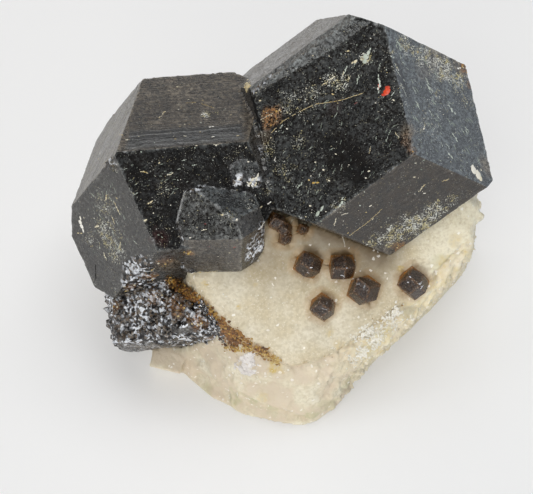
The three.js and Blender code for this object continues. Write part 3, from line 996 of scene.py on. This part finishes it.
def makeBrownGarnet():
    material, tree, shader = newMaterial("brownGarnet", brownGarnet["ior"], brownGarnet["roughness"])
    place = addNode(tree, "ShaderNodeTexCoord").outputs["Object"]
    marks = {name: addNode(tree, "ShaderNodeAttribute", attribute_name=name).outputs["Fac"]
             for name in ("rim", "amber")}
    grain = addNode(tree, "ShaderNodeTexNoise", {
        "Vector": place, "Scale": perMm(brownGarnet["toothSize"]), "Detail": 4.0, "Roughness": 0.65,
        "Distortion": 1.2}).outputs["Fac"]
    fine = addNode(tree, "ShaderNodeTexNoise", {
        "Vector": place, "Scale": perMm(brownGarnet["speckSize"]), "Detail": 2.0,
        "Distortion": 0.8}).outputs["Fac"]
    patchy = (grain, 0.35, 0.62)
    colour = layered(tree, linear(brownGarnet["core"]), brownGarnet["rim"], marks["rim"], patchy)
    colour = layered(tree, colour, brownGarnet["amber"], marks["amber"], weighed(tree, [patchy, 0.6], [0.4]))
    fleck = weighed(tree, [fine], [marks["rim"], 0.07])
    colour = layered(tree, colour, brownGarnet["glint"], (fleck, 0.67, 0.76), 0.7)
    linkLooks(tree, shader, colour, weighed(tree, [grain, brownGarnet["toothDepth"] * mm]))
    return material


def makeSmallGarnets(material):
    pieces = []
    matrix = nodeSurface("matrix")
    amberReach = [distance * mm for distance in brownGarnet["amberReach"]]
    for name in sorted(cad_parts):
        if "garnet" not in name or name == "garnet_cluster":
            continue
        work = mergedNode(name)
        mesh = evenMesh(name.replace("_", ""), work, brownGarnet["grain"])
        points = nearestOn(BVHTree.FromBMesh(work), getVectors(mesh.vertices, "co"))[0]
        ends = sharpEdges(work, np.full(len(work.faces), 1.0), 0.0)
        gap = snapToEdges(mesh, points, ends, brownGarnet["edgeReach"])
        worn = smoothStep(brownGarnet["edgeWidth"] * mm, 0, gap)
        points -= getVectors(mesh.vertices, "normal") * (worn * brownGarnet["wear"] * mm)[:, None]
        setPoints(mesh, points)
        height = nearestOn(matrix, points)[3]
        clear = brownGarnet["tinyGlow"] if name.startswith("tiny") else 1.0
        setMarks(mesh, {"rim": brownGarnet["palestFace"] + (1 - brownGarnet["palestFace"]) * worn,
                        "amber": clear * smoothStep(*amberReach, height)})
        mesh.shade_smooth()
        mesh.set_sharp_from_angle(angle=math.radians(crease))
        mesh.materials.append(material)
        pieces.append(addPiece(mesh.name + "Visual", mesh, "brown_garnet", name))
        work.free()
    print("small garnets made")
    return pieces


garnetPieces = makeSmallGarnets(makeBrownGarnet())


# small bits scattered over the faces and breaks with Geometry Nodes

bitLooks = {                   # roughness, index of refraction, and colours along the tint
    # dull crumbs from white calcite over yellow to rust
    "mineralCrumbs": (0.45, 1.55, [(0.0, "#efece4"), (0.35, "#d6cdb0"), (0.6, "#bfa052"), (0.8, "#8a5a22"),
                                   (1.0, "#472c15")]),
    # glassy splinters that are black with silver glints
    "garnetSplinters": (0.14, 1.88, [(0.0, "#0c0b0c"), (0.4, "#252325"), (0.7, "#6d6a68"), (1.0, "#d9dce4")]),
    # pale grey-green flakes, like dried film
    "greyFlakes": (0.4, 1.55, [(0.0, "#c6ccc2"), (0.5, "#9aa496"), (1.0, "#6c7568")]),
    # clear grains, slightly pink
    "calciteSugar": (0.35, 1.6, [(0.0, "#cdc6c2"), (1.0, "#efeae5")]),
    # painted shade: matte black bits laid in clefts, standing in for their shadow
    "shadedHollow": (0.8, 1.3, [(0.0, "#070606"), (1.0, "#15110e")]),
    # bright to dark red grains
    "redInclusion": (0.3, 1.7, [(0.0, "#d9471f"), (0.5, "#b02c14"), (1.0, "#571410")]),
}
# the mesh and its attribute that says where, bits for each square mm, sizes in mm, stretch and flatness,
# turn and spread in degrees, seed, tints, material, slot
scatters = {
    "paleFlakes": ("cluster", "flakes", 0.3, (0.06, 0.26), 2.4, 0.12, (20, 40), 3, (0.1, 0.55),
                   "mineralCrumbs", "calcite"),
    "crossFlakes": ("cluster", "flakes", 0.2, (0.06, 0.22), 2.0, 0.12, (-50, 60), 4, (0.0, 0.9), "greyFlakes",
                    "calcite"),
    "rustCrumbs": ("cluster", "crumbs", 5.0, (0.08, 0.35), 1.2, 0.7, (0, 360), 5, (0.25, 1.0),
                   "mineralCrumbs", "calcite"),
    "garnetSplinters": ("cluster", "splinters", 2.0, (0.1, 0.32), 1.3, 0.4, (0, 360), 6, (0.0, 1.0),
                        "garnetSplinters", "black_garnet"),
    "ledgeCrumbs": ("matrix", "crumbs", 9.0, (0.07, 0.28), 1.2, 0.6, (0, 360), 7, (0.4, 1.0), "mineralCrumbs",
                    "calcite"),
    "sugarGrains": ("matrix", "grains", 8.0, (0.1, 0.4), 1.1, 0.8, (0, 360), 8, (0.0, 0.15), "mineralCrumbs",
                    "calcite"),
}


def makeBitMaterial(name):
    roughness, ior, stops = bitLooks[name]
    material, tree, shader = newMaterial(name, ior, roughness)
    tint = addNode(tree, "ShaderNodeAttribute", attribute_name="tint").outputs["Fac"]
    ramp = addNode(tree, "ShaderNodeValToRGB", {"Fac": tint}, stops)
    tree.links.new(ramp.outputs["Color"], shader.inputs["Base Color"])
    return material


def newTree(name, sockets):  # a Geometry Nodes tree with named inputs, and what they give
    tree = bpy.data.node_groups.new(name, "GeometryNodeTree")
    for label, kind in sockets.items():
        tree.interface.new_socket(name=label, in_out="INPUT", socket_type="NodeSocket" + kind)
    tree.interface.new_socket(name="bits", in_out="OUTPUT", socket_type="NodeSocketGeometry")
    return tree, addNode(tree, "NodeGroupInput").outputs


def putBits(tree, given, points, turn, scale, tint):  # the bit on every point, made one painted mesh
    shape = addNode(tree, "GeometryNodeObjectInfo", {"Object": given["bit"]})
    placed = addNode(tree, "GeometryNodeInstanceOnPoints", {
        "Points": points, "Instance": shape.outputs["Geometry"], "Rotation": turn, "Scale": scale})
    tinted = addNode(tree, "GeometryNodeStoreNamedAttribute", {
        "Geometry": placed.outputs[0], "Name": "tint", "Value": tint}, data_type="FLOAT", domain="INSTANCE")
    real = addNode(tree, "GeometryNodeRealizeInstances", {"Geometry": tinted.outputs[0]})
    painted = addNode(tree, "GeometryNodeSetMaterial", {
        "Geometry": real.outputs[0], "Material": given["material"]})
    addNode(tree, "NodeGroupOutput", {"bits": painted.outputs[0]})
    return tree


def runTree(name, tree, source, values):  # the mesh that a tree makes from a source mesh
    carrier = bpy.data.objects.new(name + "Source", source)
    scene.collection.objects.link(carrier)
    modifier = carrier.modifiers.new(name, "NODES")
    modifier.node_group = tree
    for socket in tree.interface.items_tree:
        if socket.name in values:
            modifier[socket.identifier] = values[socket.name]
    mesh = evaluatedMesh(name, carrier)
    print(name, len(mesh.polygons), "faces")
    return mesh


def makeScatterTree():
    numbers = ("density", "smallest", "largest", "stretch", "flatness", "turn", "spread", "palest", "darkest")
    tree, given = newTree("scatterBits", {
        "surface": "Geometry", "bit": "Object", "material": "Material", "share": "String", "seed": "Int",
        **dict.fromkeys(numbers, "Float")})
    lots = {name: addNode(tree, "FunctionNodeRandomValue", {
        2: low, 3: high, "Seed": weighed(tree, [given["seed"]], [shift])}, data_type="FLOAT").outputs[1]
        for name, low, high, shift in (
            ("size", 0.0, 1.0, 11), ("turn", -0.5, 0.5, 23), ("tilt", -0.15, 0.15, 31),
            ("roll", -0.15, 0.15, 37), ("tint", given["palest"], given["darkest"], 41))}
    share = addNode(tree, "GeometryNodeInputNamedAttribute", {"Name": given["share"]}, data_type="FLOAT")
    spread = addNode(tree, "GeometryNodeDistributePointsOnFaces", {
        "Mesh": given["surface"], "Seed": given["seed"],
        "Density": weighed(tree, [share.outputs["Attribute"], given["density"]])}).outputs
    rarity = addNode(tree, "ShaderNodeMath", {0: lots["size"], 1: 3.0}, operation="POWER").outputs[0]
    span = weighed(tree, [given["largest"]], [given["smallest"], -1.0])
    size = weighed(tree, [rarity, span], [given["smallest"]])    # small bits far oftener than large ones
    lying = addNode(tree, "ShaderNodeCombineXYZ", {
        "X": lots["tilt"], "Y": lots["roll"],
        "Z": weighed(tree, [lots["turn"], given["spread"]], [given["turn"]])})
    turned = addNode(tree, "FunctionNodeRotateRotation", {
        "Rotation": spread["Rotation"],
        "Rotate By": addNode(tree, "FunctionNodeEulerToRotation", {0: lying.outputs[0]}).outputs[0]},
        rotation_space="LOCAL")
    scale = addNode(tree, "ShaderNodeCombineXYZ", {
        "X": weighed(tree, [size, given["stretch"]]), "Y": size,
        "Z": weighed(tree, [size, given["flatness"]])})
    return putBits(tree, given, spread["Points"], turned.outputs[0], scale.outputs[0], lots["tint"])


def makePlacedTree():  # bits on points that bring their own turn, size and tint
    tree, given = newTree("placedBits", {"places": "Geometry", "bit": "Object", "material": "Material"})
    turn, size, tint = [
        addNode(tree, "GeometryNodeInputNamedAttribute", {"Name": name}, data_type=kind).outputs["Attribute"]
        for name, kind in (("turn", "QUATERNION"), ("size", "FLOAT_VECTOR"), ("tint", "FLOAT"))]
    return putBits(tree, given, given["places"], turn, size, tint)


def makeBit():  # a rough twenty-sided pebble, one metre across
    work = bmesh.new()
    bmesh.ops.create_icosphere(work, subdivisions=1, radius=0.5)
    rng = np.random.default_rng(2)
    for vert in work.verts:
        vert.co *= rng.uniform(0.7, 1.15)
    mesh = bpy.data.meshes.new("roughBit")
    work.to_mesh(mesh)
    work.free()
    return bpy.data.objects.new("roughBit", mesh)


bitMaterials = {name: makeBitMaterial(name) for name in bitLooks}
roughBit = makeBit()
placedTree = makePlacedTree()


def scatterBits():
    tree = makeScatterTree()
    carriers = {"cluster": clusterPiece.data, "matrix": matrixPiece.data}
    for name, row in scatters.items():
        on, share, density, sizes, stretch, flatness, turns, seed, tints, material, slot = row
        mesh = runTree(name, tree, carriers[on], {
            "bit": roughBit, "material": bitMaterials[material], "share": share, "density": density / mm ** 2,
            "smallest": sizes[0] * mm, "largest": sizes[1] * mm, "stretch": stretch, "flatness": flatness,
            "turn": math.radians(turns[0]), "spread": math.radians(turns[1]),
            "palest": tints[0], "darkest": tints[1], "seed": seed})
        addPiece(name, mesh, slot)


scatterBits()


# chips, crumbs and hair veins that stand out one by one, and painted shade in clefts

stuck = {
    "chipBits": 1.4,           # bits in a chip as long as it is wide
    "chipStretch": 1.5,        # length of a bit over its share of the chip
    "chipHeight": 0.3,         # height of a bit over its width
    "chipPlaces": (0.2, 0.8),              # of a bit along its share of the chip
    "chipStray": 0.3,          # of a bit to each side, over the chip's width
    "chipSizes": (0.5, 1.15),              # of a bit, over the chip's width
    "fieldStray": 14,          # degrees
    "fieldTints": (0.1, 0.9),
    "fieldTries": 3,           # for each flake, because some fall outside the outline
    "veinStep": 0.8,           # between bits, over the vein's width
    "veinStray": 0.3,          # photo pixels
    "veinSizes": (0.4, 1.2),               # of a bit, over the vein's width
    "veinStretch": 1.8,
    "veinHeight": 0.5,
    "veinGaps": 0.17,          # of the noise that breaks a vein off, for each photo pixel
    "heapSpread": 0.5,         # of a heap's half width
    "heapStretch": 1.5,
    "heapHeight": 0.7,
    "heapClumps": 5,           # for each corner of a heap's line
    "clumpSpread": 0.12,       # share of the way between two corners
    "tintStray": 0.1,
}
chipKinds = {                  # photo pixel, length and width in mm, angle in the picture in degrees, tint
    "paleChips": ("mineralCrumbs", "calcite", [
        ((401, 269), 0.8, 0.7, 0, 0.58), ((354, 62), 0.9, 0.5, 40, 0.35), ((332, 78), 0.9, 0.25, 35, 0.3),
        ((325, 83), 0.9, 0.2, 30, 0.4), ((343, 74), 0.7, 0.2, 70, 0.3), ((349, 78), 0.6, 0.2, 65, 0.3),
        ((269, 203), 0.6, 0.25, 30, 0.1), ((275, 159), 0.5, 0.2, 60, 0.1),
        ((476.5, 172), 1.1, 1.4, 105, 0.12), ((478.5, 176.5), 1.1, 1.5, 105, 0.1),
        ((479.3, 180), 0.8, 1.0, 105, 0.2), ((459, 68), 0.6, 0.4, 0, 0.0), ((316, 182), 0.8, 0.6, 0, 0.62),
        ((335, 222), 1.3, 0.22, 75, 0.3), ((345, 214), 0.9, 0.2, 20, 0.2), ((81.5, 224), 2.2, 0.75, 100, 0.0),
        ((80, 234), 0.8, 0.5, 0, 0.5), ((204, 114), 0.7, 0.3, 20, 0.05), ((211, 127), 0.6, 0.45, 0, 0.0),
        ((213, 137), 0.4, 0.3, 0, 0.1), ((127, 140), 0.4, 0.3, 0, 0.3), ((216, 145), 0.6, 0.3, 0, 0.3),
        ((164, 113), 0.9, 0.35, 40, 0.4), ((160, 117), 0.6, 0.25, 60, 0.4), ((144, 172), 1.0, 0.22, -15, 0.5),
        ((170, 174), 0.8, 0.25, 10, 0.3), ((150, 202), 0.8, 0.4, 30, 0.35), ((106, 198), 1.2, 0.3, 70, 0.4),
        ((117, 208), 1.8, 0.3, 115, 0.42), ((97, 227), 1.0, 0.4, 20, 0.35),
        ((113, 220), 1.2, 0.24, 110, 0.42), ((120, 245), 1.0, 0.24, 80, 0.4),
        ((105, 256), 1.1, 0.3, 110, 0.35), ((188.6, 253), 1.0, 0.5, 60, 0.6),
        ((204, 230), 0.6, 0.25, 0, 0.25), ((253, 181), 1.5, 0.6, 35, 0.2), ((249, 185), 1.1, 0.45, -40, 0.1),
        ((255, 185), 0.9, 0.4, 80, 0.3), ((257, 177), 1.1, 0.4, 70, 0.15), ((239, 179), 0.6, 0.3, 20, 0.0),
        ((192, 273), 0.8, 0.3, 0, 0.0), ((152, 270), 1.0, 0.35, 30, 0.45), ((152.6, 279), 0.9, 0.35, 95, 0.5),
        ((127, 291), 0.8, 0.5, 30, 0.5), ((206, 284), 0.6, 0.4, 0, 0.5), ((200, 325), 0.5, 0.3, 20, 0.5),
        ((208, 310), 0.6, 0.4, 40, 0.6), ((424, 128), 0.6, 0.3, 60, 0.2), ((422, 188), 1.3, 0.22, 50, 0.42),
        ((446, 180), 0.9, 0.2, 20, 0.45), ((370, 150), 0.9, 0.14, 80, 0.4),
        ((397, 135), 0.9, 0.16, -50, 0.35), ((263, 146), 0.8, 0.25, 80, 0.1), ((262, 226), 1.0, 0.3, 60, 0.1),
        ((249, 208), 0.5, 0.2, 30, 0.2),
    ]),
    "singleFlakes": ("greyFlakes", "calcite", [
        ((379, 84), 2.3, 0.45, 88, 0.1), ((398.5, 73), 1.1, 0.13, 120, 0.0),
        ((402.5, 87), 1.3, 0.13, 115, 0.1), ((405.5, 94), 0.7, 0.12, 115, 0.0),
        ((392.5, 57), 0.45, 0.4, 0, 0.0), ((395, 64), 0.8, 0.13, 110, 0.1), ((366, 58), 1.7, 0.8, 55, 0.2),
        ((369, 53), 1.3, 0.5, 60, 0.1), ((321, 211), 1.4, 0.8, 60, 0.3), ((341, 203), 1.2, 0.5, 60, 0.2),
        ((430, 88), 1.2, 0.5, 120, 0.3), ((452, 110), 1.3, 0.5, 125, 0.2), ((428, 82), 0.9, 0.3, 118, 0.3),
        ((455, 137), 1.2, 0.4, 125, 0.2), ((418, 105), 1.2, 0.3, 118, 0.3), ((399, 45), 1.6, 0.4, 112, 0.4),
        ((346, 70), 1.0, 0.3, 70, 0.2), ((358, 80), 1.2, 0.3, 75, 0.3), ((300, 185), 0.9, 0.3, 50, 0.4),
        ((451, 156), 1.0, 0.5, 130, 0.2),
    ]),
    "garnetGlints": ("garnetSplinters", "brown_garnet", [
        ((308, 273), 0.6, 0.2, -20, 0.8), ((304, 277), 0.4, 0.15, 60, 0.7), ((311, 268), 0.35, 0.2, 0, 0.9),
        ((343, 276), 0.7, 0.25, -30, 0.8), ((347, 268), 0.3, 0.25, 0, 0.95), ((338, 279), 0.4, 0.15, 40, 0.7),
        ((364, 287), 0.8, 0.3, 80, 0.7), ((358, 284), 0.4, 0.2, 0, 0.8), ((370, 280), 0.4, 0.15, 30, 0.8),
        ((319, 302), 0.6, 0.12, 60, 0.8), ((324, 309), 0.7, 0.12, -20, 0.8), ((327, 303), 0.4, 0.12, 80, 0.8),
        ((421, 283), 1.0, 0.5, 60, 0.9), ((422, 287), 0.7, 0.3, 60, 1.0), ((410, 277), 0.35, 0.3, 0, 1.0),
        ((408, 282), 0.25, 0.2, 0, 1.0),
    ]),
    "redChips": ("redInclusion", "black_garnet", [
        ((384.8, 90.2), 0.85, 1.1, 30, 0.1), ((382.8, 93), 0.6, 0.8, 0, 0.35),
        ((386.5, 87.5), 0.6, 0.8, 0, 0.25), ((378.5, 87), 0.7, 0.3, 85, 0.3),
        ((208.5, 247), 0.35, 0.2, 0, 0.9), ((234.6, 247.6), 0.5, 0.22, 20, 0.8),
        ((205, 224), 0.4, 0.25, 0, 0.9), ((356, 103), 0.5, 0.2, 20, 1.0),
    ]),
}
flakeFields = {                # count, angle in degrees, lengths and widths in mm, outline in photo pixels
    "sideFlakes": (110, 120, (0.25, 0.95), (0.1, 0.24),
                   [(394, 42), (440, 66), (466, 96), (482, 160), (474, 178), (416, 150), (404, 90)]),
    "frontFlakes": (90, 60, (0.2, 0.8), (0.07, 0.18),
                    [(268, 128), (372, 45), (386, 62), (405, 140), (345, 205), (268, 190)]),
    "leftFlakes": (70, 112, (0.2, 0.9), (0.08, 0.2),
                   [(82, 212), (106, 172), (118, 190), (146, 250), (120, 262), (92, 256)]),
    "darkFaceFlakes": (50, 20, (0.15, 0.6), (0.07, 0.16),
                       [(122, 164), (238, 154), (226, 176), (186, 190), (170, 235), (150, 232)]),
}
veinKinds = {                  # photo pixels along the vein, width in mm, tint, share that is broken off
    "hairVeins": ("mineralCrumbs", "calcite", [
        ([(252, 125), (262, 119), (273, 113)], 0.08, 0.35, 0.0),
        ([(271, 133), (283, 121), (303, 110), (315, 104), (328, 102.5), (342, 100), (360, 94),
          (376, 88.6)], 0.09, 0.5, 0.35), ([(382, 209), (368, 222), (349, 236)], 0.07, 0.5, 0.2),
        ([(342, 236), (344, 241), (345, 247)], 0.08, 0.1, 0.0),
        ([(198, 272.5), (208, 272), (218, 271)], 0.12, 0.5, 0.2),
        ([(100, 168), (107, 160), (113, 155)], 0.09, 0.45, 0.2),
        ([(185, 103), (196, 102), (206, 105), (214, 108)], 0.07, 0.55, 0.3),
    ]),
    # painted shade: black bits in the clefts, where shadow falls
    "darkHollows": ("shadedHollow", "black_garnet", [
        ([(250, 92), (254, 106), (258, 119), (262, 131)], 0.45, 0.0, 0.0),
        ([(253, 99), (256, 111), (259, 123)], 0.55, 0.0, 0.0), ([(95.5, 265), (95.5, 280)], 0.18, 0.0, 0.0),
    ]),
}
heaps = {                      # material, slot, half width, reach in pixels, count, sizes in mm, tints, line
    "yellowCrumb": ("mineralCrumbs", "calcite", 2.2, 3.5, 30, (0.2, 0.6), (0.36, 0.52),
                    [(249, 80), (247.5, 85), (248, 90)]),
    "rustyCrust": ("mineralCrumbs", "calcite", 5.0, 7.0, 1100, (0.08, 0.42), (0.64, 1.0), crustLine),
    "brownWedge": ("mineralCrumbs", "calcite", 7.0, 8.0, 420, (0.12, 0.45), (0.75, 1.0),
                   [(224, 329), (231, 337), (239, 344)]),
    "stubTail": ("garnetSplinters", "black_garnet", 4.5, 5.5, 480, (0.1, 0.4), (0.0, 0.95),
                 [(197, 300), (207, 312), (214, 325), (219, 335), (228, 344)]),
    "goldenCrumbs": ("mineralCrumbs", "calcite", 4.0, 5.0, 420, (0.08, 0.34), (0.5, 0.8),
                     [(224, 347), (236, 350), (252, 349), (268, 356), (281, 362)]),
    "sugarPatch": ("calciteSugar", "calcite", 9.0, 10.0, 260, (0.2, 0.65), (0.0, 0.8),
                   [(245, 355), (249, 362), (246, 374)]),
    "ledgeSugar": ("mineralCrumbs", "calcite", 7.0, 8.0, 340, (0.1, 0.38), (0.0, 0.2),
                   [(352, 342), (372, 330), (390, 316), (404, 306)]),
    "bandSugar": ("mineralCrumbs", "calcite", 6.0, 7.0, 380, (0.1, 0.38), (0.0, 0.2),
                  [(350, 362), (368, 349), (384, 334), (398, 320)]),
}


def stuckBits(name, placed, material, slot):  # one piece from places, normals, ways, sizes in mm and tints
    turns = []
    for place, normal, way, sizes, tint in placed:
        across = normal.cross(way).normalized()
        turns.append(Matrix((across.cross(normal), across, normal)).transposed().to_quaternion())
    places = bpy.data.meshes.new(name + "Places")
    places.from_pydata([item[0] for item in placed], [], [])
    for label, kind, field, values in (
            ("turn", "QUATERNION", "value", turns),
            ("size", "FLOAT_VECTOR", "vector", [Vector(item[3]) * mm for item in placed]),
            ("tint", "FLOAT", "value", [item[4] for item in placed])):
        layer = places.attributes.new(label, kind, "POINT")
        layer.data.foreach_set(field, np.array(values, np.float32).ravel())
    mesh = runTree(name, placedTree, places, {"bit": roughBit, "material": bitMaterials[material]})
    addPiece(name, mesh, slot)


def strayed(rng, tint):
    return tint + rng.uniform(-stuck["tintStray"], stuck["tintStray"])


def chipBits(surface, rng, chip):  # a ragged row of bits on the face at a pixel
    pixel, length, width, angle, tint = chip
    place, normal = pixelHit(surface, pixel)[:2]
    way = Vector((math.cos(math.radians(angle)), -math.sin(math.radians(angle))))
    along = (pixelOnPlane((pixel[0] + way.x, pixel[1] + way.y), place, normal) - place).normalized()
    count = max(1, round(stuck["chipBits"] * length / width))
    for i in range(count):
        share = (i + rng.uniform(*stuck["chipPlaces"])) / count - 0.5
        across = normal.cross(along) * rng.uniform(-stuck["chipStray"], stuck["chipStray"]) * width
        size = width * rng.uniform(*stuck["chipSizes"]) * (1 - abs(share))
        sizes = (max(size, stuck["chipStretch"] * length / count), size, stuck["chipHeight"] * size)
        yield place + (along * share * length + across) * mm, normal, along, sizes, strayed(rng, tint)


def fieldChips(rng, field):  # chips at random inside an outline, small ones far oftener than large ones
    count, angle, lengths, widths, outline = field
    low, high = np.min(outline, axis=0), np.max(outline, axis=0)
    spots = low + rng.random((count * stuck["fieldTries"], 2)) * (high - low)
    for spot in spots[insideOutline(spots, outline, 1.0) > 0.5][:count]:
        share = rng.random() ** 2
        length, width = [small + share * (large - small) for small, large in (lengths, widths)]
        stray = rng.normal(0, stuck["fieldStray"])
        yield spot, length, width, angle + stray, rng.uniform(*stuck["fieldTints"])


def veinBits(surface, rng, vein):
    line, width, tint, gaps = vein
    for start, end in zip(line, line[1:]):
        steps = int(math.dist(start, end) / view["pixelsPerMm"] / (stuck["veinStep"] * width)) + 1
        for i in range(steps):
            spot = [a + (b - a) * i / steps + rng.uniform(-stuck["veinStray"], stuck["veinStray"])
                    for a, b in zip(start, end)]
            if noise.noise(Vector((spot[0], spot[1], 0)) * stuck["veinGaps"]) < gaps - 0.5:
                continue
            place, normal = pixelHit(surface, spot)[:2]
            ahead = (spot[0] + end[0] - start[0], spot[1] + end[1] - start[1])
            along = (pixelOnPlane(ahead, place, normal) - place).normalized()
            size = width * rng.uniform(*stuck["veinSizes"])
            sizes = (stuck["veinStretch"] * width, size, stuck["veinHeight"] * size)
            yield place, normal, along, sizes, strayed(rng, tint)


# crumbs that bridge what lies on both sides of a line
def heapBits(surface, rng, halfWidth, reach, count, sizes, tints, pixels):
    line = [Vector(pixel) for pixel in pixels]
    clumps = rng.uniform(0, len(line) - 1, stuck["heapClumps"] * len(line))
    for i in range(count):
        part, share = divmod(rng.choice(clumps) + rng.normal(0, stuck["clumpSpread"]), 1)
        part = min(max(part, 0), len(line) - 2)
        start, end = line[int(part)], line[int(part) + 1]
        spot = start.lerp(end, share)
        side = Vector((end.y - start.y, start.x - end.x)).normalized()
        offset = rng.normal(0, stuck["heapSpread"]) * halfWidth
        banks = [pixelHit(surface, spot + side * away)[0] for away in (-reach, reach)]
        if None in banks:
            continue
        place = banks[0].lerp(banks[1], 0.5 + 0.5 * offset / reach)
        below, normal = pixelHit(surface, spot + side * offset)[:2]
        if (below - eye).length < (place - eye).length:
            place = below
        size = sizes[0] + rng.random() ** 2 * (sizes[1] - sizes[0])
        way = Vector(rng.normal(0, 1, 3)).cross(normal)
        yield (place, normal, way, (stuck["heapStretch"] * size, size, stuck["heapHeight"] * size),
               rng.uniform(*tints))


def addMarks():
    points = []
    faces = []
    for piece in [clusterPiece, matrixPiece] + garnetPieces:
        first = len(points)
        points += [vert.co for vert in piece.data.vertices]
        faces += [[first + i for i in polygon.vertices] for polygon in piece.data.polygons]
    surface = BVHTree.FromPolygons(points, faces)
    rng = np.random.default_rng(21)
    for name, (material, slot, chips) in chipKinds.items():
        stuckBits(name, [bit for chip in chips for bit in chipBits(surface, rng, chip)], material, slot)
    for name, field in flakeFields.items():
        flakes = list(fieldChips(rng, field))
        placed = [bit for flake in flakes for bit in chipBits(surface, rng, flake)]
        stuckBits(name, placed, "greyFlakes", "calcite")
    for name, (material, slot, veins) in veinKinds.items():
        stuckBits(name, [bit for vein in veins for bit in veinBits(surface, rng, vein)], material, slot)
    for name, (material, slot, *heap) in heaps.items():
        stuckBits(name, list(heapBits(surface, rng, *heap)), material, slot)


addMarks()
